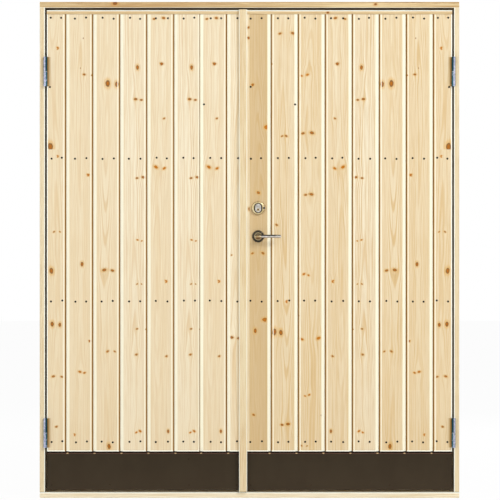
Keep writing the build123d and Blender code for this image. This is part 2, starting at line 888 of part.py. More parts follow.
# Lock in the right leaf's meeting stile
forend_back_x = right_meet + forend_thick
with BuildPart() as lock_case:
    with Locations(((forend_back_x + case_back_x) / 2, core_middle_y, case_level)):
        Box(case_back_x - forend_back_x, case_thick, case_height)
    fillet(lock_case.edges().filter_by(Axis.Y).group_by(Axis.X)[-1], forend_thick)
    for level, height, length, throw in (
        (latch_level, latch_height, latch_length, latch_throw),
        (dead_bolt_level, dead_bolt_height, dead_bolt_length, dead_bolt_throw),
    ):
        depth = length + bolt_end_room
        with Locations((right_meet + depth / 2, core_middle_y, level)):
            Box(
                depth,
                bolt_thick + 2 * bolt_clearance,
                height + 2 * bolt_clearance,
                mode=Mode.SUBTRACT,
            )
    with Locations((spindle_x, core_middle_y, spindle_level)):
        Cylinder(
            follower_radius + follower_play,
            2 * case_thick,
            rotation=(90, 0, 0),
            mode=Mode.SUBTRACT,
        )
    with Locations((spindle_x, core_middle_y, cylinder_level)):
        Cylinder(
            turn_tail_radius + turn_tail_play,
            2 * case_thick,
            rotation=(90, 0, 0),
            mode=Mode.SUBTRACT,
        )
pieces(lock_case, "lock_case")

with BuildPart() as lock_forend:
    with Locations((right_meet + forend_thick / 2, core_middle_y, case_level)):
        Box(forend_thick, forend_width, forend_height)
    for level, height in ((latch_level, latch_height), (dead_bolt_level, dead_bolt_height)):
        with Locations((right_meet, core_middle_y, level)):
            Box(
                3 * forend_thick,
                bolt_thick + 2 * bolt_clearance,
                height + 2 * bolt_clearance,
                mode=Mode.SUBTRACT,
            )
    with Locations(*forend_screw_planes):
        CounterSinkHole(screw_shank_radius, screw_head_radius, forend_thick, 90)
pieces(lock_forend, "lock_forend")
pieces(screws_at(forend_screw_planes, forend_screw_length), "forend_screws")

# The latch is bevelled on the side that meets the strike as the leaf closes
bolt_tip = right_meet + bolt_setback
with BuildPart() as latch_bolt:
    with BuildSketch(Plane.XY.offset(latch_level)):
        with BuildLine():
            Polyline(
                (bolt_tip, core_middle_y - bolt_thick / 2),
                (bolt_tip + latch_length, core_middle_y - bolt_thick / 2),
                (bolt_tip + latch_length, core_middle_y + bolt_thick / 2),
                (bolt_tip + bolt_thick, core_middle_y + bolt_thick / 2),
                (bolt_tip, core_middle_y - bolt_thick / 2 + arris),
                close=True,
            )
        make_face()
    extrude(amount=latch_height / 2, both=True)
pieces(latch_bolt, "latch_bolt")

with BuildPart() as dead_bolt:
    with Locations((bolt_tip + dead_bolt_length / 2, core_middle_y, dead_bolt_level)):
        Box(dead_bolt_length, bolt_thick, dead_bolt_height)
    chamfer(dead_bolt.edges().group_by(Axis.X)[0], arris)
pieces(dead_bolt, "dead_bolt")

with BuildPart() as strike_plate:
    with Locations((left_meet - forend_thick / 2, core_middle_y, strike_level)):
        Box(forend_thick, strike_width, strike_height)
    for level, height, throw in strike_spots:
        with Locations((left_meet, core_middle_y, level)):
            Box(
                3 * forend_thick,
                bolt_thick + 2 * strike_clearance,
                height + 2 * strike_clearance,
                mode=Mode.SUBTRACT,
            )
    with Locations(*strike_screw_planes):
        CounterSinkHole(screw_shank_radius, screw_head_radius, forend_thick, 90)
pieces(strike_plate, "strike_plate")
pieces(screws_at(strike_screw_planes, forend_screw_length), "strike_screws")

# Follower, spindle and levers turn together
spindle_axis = Axis((spindle_x, 0, spindle_level), (0, 1, 0))
with BuildPart() as lock_follower:
    with Locations((spindle_x, core_middle_y, spindle_level)):
        Cylinder(follower_radius, case_thick, rotation=(90, 0, 0))
        Box(
            spindle_width + 2 * spindle_play,
            2 * case_thick,
            spindle_width + 2 * spindle_play,
            mode=Mode.SUBTRACT,
        )
pieces(lock_follower, "lock_follower")

spindle_length = back_y - front_y + 2 * spindle_reach
with BuildPart() as lever_spindle:
    with Locations((spindle_x, leaf_middle_y, spindle_level)):
        Box(spindle_width, spindle_length, spindle_width)
    chamfer(lever_spindle.edges().filter_by(Axis.Y), arris / 2)
pieces(lever_spindle, "lever_spindle")

lever_y = front_y - lever_stand
with BuildPart() as outer_lever:
    with BuildSketch(Plane.XY.offset(spindle_level)):
        with BuildLine():
            Polyline(
                (spindle_x, front_y - over_cut),
                (spindle_x + neck_radius, front_y - over_cut),
                (spindle_x + neck_radius, front_y - neck_length + arris),
                (spindle_x + neck_radius - arris, front_y - neck_length),
                (spindle_x + lever_radius + arris, front_y - neck_length),
                (spindle_x + lever_radius, front_y - neck_length - 2 * arris),
                (spindle_x, front_y - neck_length - 2 * arris),
                close=True,
            )
        make_face()
    revolve(axis=spindle_axis)
    with BuildLine(Plane.XY.offset(spindle_level)) as lever_path:
        FilletPolyline(
            (spindle_x, front_y - neck_length),
            (spindle_x, lever_y),
            (spindle_x + lever_reach - 2 * lever_return, lever_y),
            (spindle_x + lever_reach - lever_radius / 2, lever_y + lever_return / 2),
            radius=lever_bend,
        )
    with BuildSketch(Plane(lever_path.line @ 0, z_dir=lever_path.line % 0)):
        Circle(lever_radius)
    sweep()
    tip = outer_lever.faces().sort_by(Axis.X)[-1]
    fillet(tip.edges(), lever_radius - arris)
    with Locations((spindle_x, front_y, spindle_level)):
        Box(
            spindle_width + 2 * spindle_play,
            2 * spindle_reach + over_cut,
            spindle_width + 2 * spindle_play,
            mode=Mode.SUBTRACT,
        )
with BuildPart() as inner_lever:
    mirror(outer_lever.part, about=facing(leaf_middle_y))
pieces(outer_lever, "outer_lever")
pieces(inner_lever, "inner_lever")


def rosette(level, hole_radius):
    """A round rose on the boards' face at height level, with a hole for what turns in it."""
    axis = Axis((spindle_x, 0, level), (0, 1, 0))
    with BuildPart() as rose:
        with BuildSketch(Plane.XY.offset(level)):
            with BuildLine():
                Polyline(
                    (spindle_x + hole_radius, front_y),
                    (spindle_x + rosette_radius, front_y),
                    (spindle_x + rosette_radius, front_y - rosette_edge),
                )
                ThreePointArc(
                    (spindle_x + rosette_radius, front_y - rosette_edge),
                    (spindle_x + rosette_radius - arris, front_y - rosette_thick + arris),
                    (spindle_x + rosette_radius - rosette_edge, front_y - rosette_thick),
                )
                Polyline(
                    (spindle_x + rosette_radius - rosette_edge, front_y - rosette_thick),
                    (spindle_x + hole_radius, front_y - rosette_thick),
                    (spindle_x + hole_radius, front_y),
                )
            make_face()
        revolve(axis=axis)
    return rose


outer_rosette = rosette(spindle_level, neck_radius + neck_play)
with BuildPart() as inner_rosette:
    mirror(outer_rosette.part, about=facing(leaf_middle_y))
outer_turn_rose = rosette(cylinder_level, turn_neck_radius + turn_neck_play)
with BuildPart() as turn_rosette:
    mirror(outer_turn_rose.part, about=facing(leaf_middle_y))
pieces(outer_rosette, "outer_rosette")
pieces(inner_rosette, "inner_rosette")
pieces(turn_rosette, "turn_rosette")

# Cylinder: an oval body with its keyed plug low down, in a round ring
cylinder_axis = Axis((spindle_x, 0, cylinder_level), (0, 1, 0))
case_front_y = core_middle_y - case_thick / 2
plug_level = cylinder_level - plug_drop
with BuildPart() as cylinder_ring:
    with BuildSketch(Plane.XY.offset(cylinder_level)):
        with BuildLine():
            Polyline(
                (spindle_x, front_y),
                (spindle_x + ring_radius, front_y),
                (spindle_x + ring_radius, front_y - arris),
                (spindle_x + ring_front_radius + arris, front_y - ring_thick + arris / 2),
                (spindle_x + ring_front_radius, front_y - ring_thick),
                (spindle_x, front_y - ring_thick),
                close=True,
            )
        make_face()
    revolve(axis=cylinder_axis)
    with BuildSketch(facing(front_y)):
        with Locations((spindle_x + ring_front_radius, cylinder_level)):
            Circle(lug_radius)
    extrude(amount=lug_thick)
    with BuildSketch(facing(front_y)):
        with Locations((spindle_x, cylinder_level)):
            SlotOverall(ring_window_height, ring_window_width, rotation=90)
    extrude(amount=2 * ring_thick, mode=Mode.SUBTRACT)
pieces(cylinder_ring, "cylinder_ring")

with BuildPart() as lock_cylinder:
    with BuildSketch(facing(case_front_y)):
        with Locations((spindle_x, cylinder_level)):
            SlotOverall(cylinder_height, cylinder_width, rotation=90)
    extrude(amount=case_front_y - front_y + cylinder_stand)
    chamfer(lock_cylinder.faces().sort_by(Axis.Y)[0].edges(), arris / 2)
    with BuildSketch(facing(front_y)):
        with Locations((spindle_x, cylinder_level)):
            SlotOverall(
                ring_window_height - 2 * flange_play,
                ring_window_width - 2 * flange_play,
                rotation=90,
            )
    extrude(amount=flange_thick)
    with Locations((spindle_x, front_y, plug_level)):
        Cylinder(
            plug_radius + plug_play, 4 * core_thick, rotation=(90, 0, 0), mode=Mode.SUBTRACT
        )
pieces(lock_cylinder, "lock_cylinder")

with BuildPart() as key_plug:
    with BuildSketch(facing(case_front_y)):
        with Locations((spindle_x, plug_level)):
            Circle(plug_radius)
    extrude(amount=case_front_y - front_y + cylinder_stand)
    with Locations((spindle_x, front_y - cylinder_stand + keyway_deep / 2, plug_level)):
        Box(keyway_width, keyway_deep, keyway_height, mode=Mode.SUBTRACT)
pieces(key_plug, "key_plug")

with BuildPart() as thumb_turn:
    with BuildSketch(facing(core_middle_y)):
        with Locations((spindle_x, cylinder_level)):
            Circle(turn_tail_radius)
    extrude(amount=-(back_y + rosette_thick - core_middle_y))
    with BuildSketch(facing(back_y + over_cut)):
        with Locations((spindle_x, cylinder_level)):
            Circle(turn_neck_radius)
    extrude(amount=-rosette_thick)
    with BuildSketch(facing(back_y + rosette_thick + over_cut)):
        with Locations((spindle_x, cylinder_level)):
            SlotOverall(turn_blade_width, turn_blade_thick, rotation=90)
    extrude(amount=-turn_blade_reach)
    chamfer(thumb_turn.faces().sort_by(Axis.Y)[-1].edges(), arris)
pieces(thumb_turn, "thumb_turn")


# Bolts on the inside of the left leaf's meeting stile
def bracket(level):
    """A back plate with two bridges that the rod runs through."""
    reach = rod_stand + rod_radius + rod_play + guide_wall
    with BuildPart() as plate:
        with Locations((rod_x, back_y + bracket_thick / 2, level)):
            Box(bracket_width, bracket_thick, bracket_height)
        fillet(plate.edges().filter_by(Axis.Y), guide_wall)
        guides = [(rod_x, back_y + reach / 2, level + side * guide_spread / 2) for side in (-1, 1)]
        with Locations(*guides):
            Box(guide_width, reach, guide_height)
        fillet(plate.edges().filter_by(Axis.Z).group_by(Axis.Y)[-1], guide_wall)
        with Locations((rod_x, rod_y, level)):
            Cylinder(rod_radius + rod_play, 2 * bracket_height, mode=Mode.SUBTRACT)
    return plate


def rod(foot, knob_level):
    """A round bolt with the knob that slides it."""
    with BuildPart() as bolt:
        with Locations((rod_x, rod_y, foot)):
            Cylinder(
                rod_radius, rod_length, align=(Align.CENTER, Align.CENTER, Align.MIN)
            )
        chamfer(bolt.edges().filter_by(GeomType.CIRCLE), arris)
        with BuildSketch(facing(rod_y)):
            with Locations((rod_x, knob_level)):
                Circle(rod_knob_radius)
        extrude(amount=-(rod_radius + rod_knob_reach))
        fillet(bolt.faces().sort_by(Axis.Y)[-1].edges(), arris)
    return bolt


with BuildPart() as bolt_brackets:
    add(bracket(lower_bracket_z).part)
    add(bracket(upper_bracket_z).part)
    with Locations(*bracket_screw_planes):
        CounterSinkHole(screw_shank_radius, screw_head_radius, bracket_thick, 90)
pieces(bolt_brackets, "bolt_brackets")
pieces(screws_at(bracket_screw_planes, bracket_screw_length), "bracket_screws")
upper_bolt = rod(upper_rod_top - rod_length, upper_bracket_z - rod_throw / 2)
lower_bolt = rod(lower_rod_foot, lower_bracket_z + rod_throw / 2)
pieces(upper_bolt, "upper_bolt")
pieces(lower_bolt, "lower_bolt")

upper_keep_planes = [
    Plane((x, rod_y, upper_keep_z), z_dir=(0, 0, -1)) for x in keep_screw_x
]
lower_keep_planes = [Plane((x, rod_y, lower_keep_z), z_dir=(0, 0, 1)) for x in keep_screw_x]
with BuildPart() as bolt_keeps:
    with Locations(
        (rod_x, rod_y, upper_keep_z + keep_thick / 2),
        (rod_x, rod_y, lower_keep_z - keep_thick / 2),
    ):
        Box(keep_width, keep_depth, keep_thick)
    with BuildSketch(Plane((rod_x, rod_y, lower_keep_z - keep_thick))):
        keep_hole()
    extrude(amount=upper_keep_z - lower_keep_z + 2 * keep_thick, mode=Mode.SUBTRACT)
    with Locations(*upper_keep_planes, *lower_keep_planes):
        CounterSinkHole(screw_shank_radius, screw_head_radius, keep_thick, 90)
pieces(bolt_keeps, "bolt_keeps")
pieces(screws_at(upper_keep_planes + lower_keep_planes, keep_screw_length), "keep_screws")
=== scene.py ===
"""Looks of the boarded double door: pine, galvanised hinges, nickel lock fittings and nails.

Metres throughout, +X to the right seen from outside, +Y into the building, +Z up. The front
of the boards lies at FRONT, and the origin is the middle of the sill's underside.
"""

import bpy
import numpy as np
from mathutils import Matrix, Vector


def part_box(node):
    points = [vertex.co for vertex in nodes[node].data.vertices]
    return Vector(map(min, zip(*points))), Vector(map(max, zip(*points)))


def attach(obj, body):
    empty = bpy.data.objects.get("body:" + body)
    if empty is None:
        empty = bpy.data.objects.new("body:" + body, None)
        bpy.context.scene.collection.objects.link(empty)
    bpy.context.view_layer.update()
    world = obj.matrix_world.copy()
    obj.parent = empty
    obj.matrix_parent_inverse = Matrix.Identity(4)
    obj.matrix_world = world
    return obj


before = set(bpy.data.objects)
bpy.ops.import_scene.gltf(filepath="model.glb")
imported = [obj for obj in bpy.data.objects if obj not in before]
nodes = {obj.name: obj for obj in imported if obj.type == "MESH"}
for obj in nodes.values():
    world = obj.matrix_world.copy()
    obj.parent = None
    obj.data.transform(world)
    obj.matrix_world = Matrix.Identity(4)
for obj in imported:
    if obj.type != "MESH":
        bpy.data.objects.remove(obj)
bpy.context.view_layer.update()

# Sizes that the patterns follow
FRONT = -0.046
LEAF_EDGE = 0.854
HINGE_BOARD = 0.0804  # cover of the board beside the hinges
BOARD = 0.11387  # cover of the other boards
BOARDS = 8
RIPPED_OFF = 0.0053  # the left leaf's sixth board, which would end at RIPPED_TO, is this narrower
RIPPED_TO = HINGE_BOARD + 5 * BOARD
GAP = 0.003
BEVEL = 0.0135
BOARD_FOOT = 0.1955
HEAD_OPENING = 2.0620
HINGE_AXIS = 0.8595
HINGE_LENGTH = 0.124
SPINDLE_X = 0.0365
LEVER_LEVEL = 1.102
CYLINDER_LEVEL = 1.221
PLUG_LEVEL = 1.214
RING_FRONT = 0.0245
HINGES_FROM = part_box("hinge_frame_halves")[0][2]
HINGES_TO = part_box("right_hinge_halves")[1][2]
KICK_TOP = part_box("left_kick_plate")[1][2]
strip_low, strip_high = (Vector(corner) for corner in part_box("meeting_strip"))
STRIP_MIDDLE = (strip_low.x + strip_high.x) / 2
STRIP_HALF = (strip_high.x - strip_low.x) / 2

# Depths that part a front from what lies behind it
FRAME_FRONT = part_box("frame_head")[0][1] + 0.003
CORE_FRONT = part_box("left_boards")[1][1] + 0.002
BOARD_FRONT = FRONT + 0.006

# Where the painted shade on arrises begins, and how wide the painted highlights beside it and
# elsewhere are
JAMB_ARRIS = 0.8622
SILL_ARRIS = 0.0235
TOP_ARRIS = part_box("left_top_strip")[1][2] - 0.0022
HIGHLIGHT_WIDTH = 0.0045
JAMB_HIGHLIGHT = 0.0035
TOP_HIGHLIGHT = 0.0043

# Joint between two boards: the painted highlight beside it, its arris and its sides, along a
# board's cover
EDGE_HIGHLIGHT = (BOARD - 0.0118, BOARD - 0.0078)
JOINT_ARRIS = (BOARD - 0.0042, BOARD - 0.0034)
JOINT_SIDES = (0.5 * GAP + 0.0002, BOARD - 0.0045)

# Other bands: the strip's painted highlights, the core's painted shade, and the film's top and the
# painted light on it
STRIP_HIGHLIGHT = (STRIP_HALF - 0.0035, STRIP_HALF - 0.0020)
FOOT_BAND = (KICK_TOP - 0.003, BOARD_FOOT + 0.001)
FILM_TOP = KICK_TOP - 0.004
FILM_LIGHT_PATCH = (0.002, 0.010)


# Socket arithmetic
class Field:
    """A number that varies over a surface: the output socket of a shader node."""

    def __init__(self, paint, socket):
        self.paint = paint
        self.socket = socket

    def __add__(self, other):
        return self.paint.math("ADD", self, other)

    def __sub__(self, other):
        return self.paint.math("SUBTRACT", self, other)

    def __rsub__(self, other):
        return self.paint.math("SUBTRACT", other, self)

    def __mul__(self, other):
        return self.paint.math("MULTIPLY", self, other)

    def __truediv__(self, other):
        return self.paint.math("DIVIDE", self, other)

    def __pow__(self, other):
        return self.paint.math("POWER", self, other)

    def __gt__(self, other):
        return self.paint.math("GREATER_THAN", self, other)

    def __lt__(self, other):
        return self.paint.math("LESS_THAN", self, other)

    __radd__ = __add__
    __rmul__ = __mul__


class Paint:
    """A material: one Principled shader and the nodes that feed it."""

    def __init__(self, name, **fixed):
        self.material = bpy.data.materials.new(name)
        self.material.use_nodes = True
        self.nodes = self.material.node_tree.nodes
        self.links = self.material.node_tree.links
        self.shader = self.nodes["Principled BSDF"]
        for socket, value in fixed.items():
            self.shader.inputs[socket.replace("_", " ")].default_value = value
        place = self.node("ShaderNodeTexCoord", output="Object")
        self.x, self.y, self.z = (
            self.node("ShaderNodeSeparateXYZ", {"Vector": place}, output=axis) for axis in "XYZ"
        )

    def node(self, kind, inputs=None, output=0, stops=None, **settings):
        """Adds a node: settings first, then ramp stops, then a value or link for each input."""
        node = self.nodes.new(kind)
        for setting, value in settings.items():
            setattr(node, setting, value)
        if stops:
            ramp = node.color_ramp
            while len(ramp.elements) < len(stops):
                ramp.elements.new(1.0)
            for element, (position, colour) in zip(ramp.elements, stops):
                element.position = position
                element.color = colour
        for key, value in (inputs or {}).items():
            if isinstance(value, Field):
                self.links.new(value.socket, node.inputs[key])
            else:
                node.inputs[key].default_value = value
        return Field(self, node.outputs[output])

    def math(self, operation, *values):
        """One Math node on up to three numbers or fields."""
        return self.node("ShaderNodeMath", dict(enumerate(values)), operation=operation)

    def pack(self, x, y, z):
        """A vector of three fields or numbers."""
        return self.node("ShaderNodeCombineXYZ", {"X": x, "Y": y, "Z": z})

    def noise(self, vector, detail=2.0):
        """Smooth noise about 0.5 on a vector."""
        return self.node("ShaderNodeTexNoise", {"Vector": vector, "Scale": 1.0, "Detail": detail})

    def stretched(self, fx, fy, fz, detail=2.0):
        """Noise with its own frequency along each axis, in cells to the metre."""
        return self.noise(self.pack(self.x * fx, self.y * fy, self.z * fz), detail)

    def draw(self, value):
        """A random number from 0 to 1, the same wherever value is the same."""
        return self.node(
            "ShaderNodeTexWhiteNoise", {"W": value}, noise_dimensions="1D", output="Value"
        )

    def ease(self, value, low, high):
        """0 below low, 1 above high, and a smooth step between."""
        return self.node(
            "ShaderNodeMapRange",
            {"Value": value, "From Min": low, "From Max": high},
            interpolation_type="SMOOTHSTEP",
        )

    def mix(self, below, above, amount):
        """A colour between two, by an amount from 0 to 1."""
        return self.node(
            "ShaderNodeMix", {0: amount, 6: below, 7: above}, output=2, data_type="RGBA"
        )

    def tint(self, colour, by, amount):
        """A colour multiplied by another, in part."""
        return self.node(
            "ShaderNodeMix",
            {0: amount, 6: colour, 7: by},
            output=2,
            data_type="RGBA",
            blend_type="MULTIPLY",
        )

    def feed(self, **sockets):
        """Links fields to the shader's inputs."""
        for name, field in sockets.items():
            self.links.new(field.socket, self.shader.inputs[name.replace("_", " ")])

    def bump(self, height, strength, distance):
        """Raises the surface by height times distance, in metres."""
        normal = self.node(
            "ShaderNodeBump", {"Height": height, "Strength": strength, "Distance": distance}
        )
        self.feed(Normal=normal)


def shade(code):
    """A six-digit screen colour as linear red, green, blue and 1."""
    parts = [int(code[i : i + 2], 16) / 255 for i in (0, 2, 4)]
    return tuple(((c + 0.055) / 1.055) ** 2.4 if c > 0.04045 else c / 12.92 for c in parts) + (1.0,)


# Early wood, late wood and slow shade of each kind of piece
BOARD_TONES = ("F3E8CE", "DCBC8A", "E6D0A8")
CORE_TONES = ("EEE2C2", "DABE91", "E2CDA4")
HEAD_TONES = ("EBD5A6", "8F6230", "BE935A")
SILL_TONES = ("FCF2DA", "E6D0A6", "F2E0BE")
STRIP_TONES = ("EFE2BF", "D3AE7C", "E4CC9F")
TOP_TONES = ("E4CEA4", "C9A26C", "D8BB8A")
RING_SPACING = 0.0036
SLANT = 0.83  # of the depth, added to a plank's width so that its sides and top show its grain

# Knots by board, counted from the hinges: (offset from the board's middle towards the hinges,
# height, radius, distance on to a twin at the same height or 0), in millimetres. The leaves'
# boards are alike, apart from the left one's last three.
KNOTS = (
    ((-6, 1897, 5, 0), (25, 1480, 9, 0), (-6, 1441, 4, 0), (10, 1121, 5, -25), (21, 957, 7, 0),
     (18, 732, 6, -32), (13, 512, 6, -36), (0, 300, 5, 0)),
    ((-20, 1784, 5, -32), (-37, 1362, 5, 0), (-11, 985, 5, 0), (-43, 662, 4, 0),
     (-2, 531, 6, -19), (20, 268, 4, 0)),
    ((-5, 1746, 8, -39), (9, 960, 8, -34), (-5, 617, 6, -30), (-11, 217, 6, 0)),
    ((-17, 1814, 5, 0), (-9, 1680, 6, -24), (-41, 1351, 6, 26), (-17, 1087, 4, -18),
     (-15, 901, 4, -19), (-15, 712, 4, -38), (-12, 604, 5, 0), (-28, 281, 6, 16)),
    ((-13, 2022, 6, 40), (-5, 1830, 6, 0), (-15, 1599, 5, 0), (19, 1394, 9, -35),
     (-24, 914, 5, 0), (-25, 597, 5, 0), (-32, 281, 4, 0)),
    ((53, 1850, 6, 0), (-17, 1783, 6, -25), (2, 1538, 8, -38), (0, 1279, 7, -25),
     (-32, 943, 6, 19), (30, 673, 8, -70), (-10, 434, 5, -17), (-43, 220, 4, 24)),
    ((35, 1958, 7, -54), (-54, 1829, 4, 0), (7, 1525, 6, -17), (51, 1280, 5, 0),
     (-33, 1150, 6, 0), (9, 829, 5, 0), (-43, 699, 8, 28), (15, 311, 7, -25)),
    ((-20, 1742, 5, 0), (36, 1564, 9, 0), (4, 1286, 8, 0), (23, 1031, 7, -44),
     (30, 752, 9, 0), (-9, 704, 5, 0), (-16, 350, 6, 0)),
)
# The left leaf's last board
LEFT_END_KNOTS = (
    (-35, 1982, 6, 0), (-35, 1939, 5, 0), (-38, 1217, 4, 30), (37, 1023, 4, 0), (37, 676, 7, -30),
)
# (x, height, radius) on planks, in metres
HEAD_KNOTS = ((-0.567, 2.084, 0.010), (0.531, 2.080, 0.006))
TOP_KNOTS = ((-0.510, 2.056, 0.006), (0.330, 2.045, 0.005))
# Lengths that the ramps hold as 1
KNOT_SPAN = 0.16
KNOT_HEIGHT = 2.1
KNOT_SIZE = 0.03


def knot_stops(knots):
    """Ramp stops that hold the nearest knot's offset, height, radius and twin at each height."""
    rows = sorted((height, offset, radius, twin) for offset, height, radius, twin in knots)
    stops = []
    for index, (height, offset, radius, twin) in enumerate(rows):
        below = rows[index - 1][0] if index else -height
        start = (height + below) / 2000 / KNOT_HEIGHT
        held = (
            0.5 + offset / 1000 / KNOT_SPAN,
            height / 1000 / KNOT_HEIGHT,
            radius / 1000 / KNOT_SIZE,
            0.5 + twin / 1000 / KNOT_SPAN,
        )
        stops.append((max(start, 0.0), held))
    return stops


def pine_rings(paint, across, depth, along, seed):
    """Latewood of a flat-sawn board, 0 to 1: sine rings about a pith that wanders behind it.

    The distance from the pith, divided by the ring spacing, goes through a sine, and its
    crests are the dark latewood.
    """
    sway = paint.noise(paint.pack(seed * 7.3, along * 0.8, 0.0), detail=1.0) - 0.5
    drift = paint.noise(paint.pack(seed * 3.1 + 40.0, along * 0.5, 0.0), detail=1.0) - 0.5
    ripple = paint.noise(paint.pack(across * 22.0, along * 3.0, seed)) - 0.5
    side = across + sway * 0.09 + ripple * 0.006
    back = depth + drift * 0.09 + 0.045
    distance = (side * side + back * back) ** 0.5
    crest = paint.math("SINE", distance * (6.2832 / RING_SPACING))
    return paint.ease(crest, 0.1, 1.0)


def pine_coat(paint, across, depth, along, seed, tones):
    """Bare pine: rings, fibres and slow changes of tone, and the relief of its grain.

    tones are the pale early wood, the honey late wood and the slow shade, as screen colours.
    """
    early, late, slow = (shade(tone) for tone in tones)
    rings = pine_rings(paint, across, depth, along, seed)
    fibre = paint.noise(paint.pack(across * 900.0, along * 9.0, seed + 3.0))
    line = paint.noise(paint.pack(across * 330.0, along * 2.4, seed + 5.0))
    streak = paint.noise(paint.pack(across * 110.0, along * 1.3, seed + 9.0), detail=3.0)
    cloud = paint.noise(paint.pack(across * 9.0, along * 1.3, seed + 17.0))
    ringed = rings * (0.3 + 1.0 * paint.ease(cloud, 0.3, 0.75))
    colour = paint.mix(early, late, ringed)
    colour = paint.mix(colour, slow, paint.ease(streak, 0.44, 0.7) * 0.75)
    colour = paint.mix(colour, late, paint.ease(line, 0.55, 0.74) * 0.8)
    colour = paint.tint(colour, shade("E3D3B8"), paint.ease(fibre, 0.42, 0.7) * 0.7)
    return colour, fibre * 0.6 + rings * 0.4


def knot_reach(paint, gone_x, gone_z, size, lean, oval=1.35):
    """Distance from a knot's middle in its own radii: an oval, long across, that leans."""
    turned = gone_x + gone_z * lean
    risen = (gone_z - gone_x * lean) * oval
    return (turned * turned + risen * risen) ** 0.5 / size


def board_places(paint):
    """1 on the left leaf, distance from the hinges, number of the board and distance along it.

    The boards are counted from 0 at the hinges, and a distance along one starts at that side.
    """
    left = paint.x < 0.0
    run = LEAF_EDGE - paint.math("ABSOLUTE", paint.x)
    run = run + left * (run > RIPPED_TO - RIPPED_OFF) * RIPPED_OFF
    turns = (run - HINGE_BOARD) / BOARD + 1.0
    board = paint.math("FLOOR", turns)
    return left, run, board, (turns - board) * BOARD


def beside_hinges(paint, share):
    """1 at a hinge's height, from a share of its length up to its top."""
    over = [paint.z - foot for foot in (HINGES_FROM, HINGES_TO - HINGE_LENGTH)]
    lower, upper = ((rise > share * HINGE_LENGTH) * (rise < HINGE_LENGTH) for rise in over)
    return lower + upper


def nearest_knot(paint, pattern):
    """The knot nearest in height on a board: its offset, height and size, and its twin's offset.

    Each pattern has a ramp over the height that holds one knot's numbers at a time, as red,
    green, blue and alpha.
    """
    found = None
    twin = 0.0
    level = paint.z / KNOT_HEIGHT
    for index, knots in enumerate(KNOTS + (LEFT_END_KNOTS,)):
        held = paint.node("ShaderNodeValToRGB", {"Fac": level}, stops=knot_stops(knots))
        ramp = held.socket.node
        ramp.color_ramp.interpolation = "CONSTANT"
        here = paint.math("COMPARE", pattern, float(index), 0.5)
        found = held if found is None else paint.mix(found, held, here)
        twin = Field(paint, ramp.outputs["Alpha"]) * here + twin
    parts = [paint.node("ShaderNodeSeparateColor", {"Color": found}, output=k) for k in range(3)]
    offset = (parts[0] - 0.5) * KNOT_SPAN
    height = parts[1] * KNOT_HEIGHT
    size = parts[2] * (1.2 * KNOT_SIZE)
    return offset, height, size, (twin - 0.5) * KNOT_SPAN


def frayed(paint):
    """Noise about 0 that frays a knot's outline."""
    return (paint.stretched(160.0, 160.0, 160.0) - 0.5) * 0.45


def board_edges(paint, colour, run, board, along_board):
    """Painted highlights on bevels and edges, painted shade in joints, painted shadow beside
    hinges.
    """
    on_front = paint.y < BOARD_FRONT
    # Painted highlight on each board's bevel
    bevel = (along_board > 0.5 * GAP) * (along_board < 0.5 * GAP + BEVEL) * (board > 0.5)
    colour = paint.mix(colour, shade("FFFBE2"), bevel * on_front * 0.9)
    # Painted highlight along each board's face beside its joint
    edge_highlight = (along_board > EDGE_HIGHLIGHT[0]) * (along_board < EDGE_HIGHLIGHT[1]) * on_front
    colour = paint.mix(colour, shade("FFFAE2"), edge_highlight * 0.75)
    # Painted highlight along the leaf's edge at the hinges and along the boards' feet
    rim = (run < HIGHLIGHT_WIDTH) + (paint.z < BOARD_FOOT + HIGHLIGHT_WIDTH) * on_front
    colour = paint.mix(colour, shade("FFFFF0"), rim * 0.95)
    # Painted shade on each joint's arris
    arris = paint.ease(along_board, *JOINT_ARRIS) * on_front
    colour = paint.mix(colour, shade("A2700C"), arris)
    # Painted shade down the sides of each joint
    deep = paint.ease(paint.y, FRONT + 0.001, FRONT + 0.005)
    sides = (along_board > JOINT_SIDES[1]) + (along_board < JOINT_SIDES[0])
    colour = paint.mix(colour, shade("9C6C08"), deep * sides)
    # Painted shadow of each hinge on the boards beside it
    beside = beside_hinges(paint, 0.0) * on_front
    hinge_shadow = (1.0 - paint.ease(run, 0.002, 0.024)) ** 1.4 * beside
    return paint.mix(colour, shade("A4761A"), hinge_shadow * 0.95)


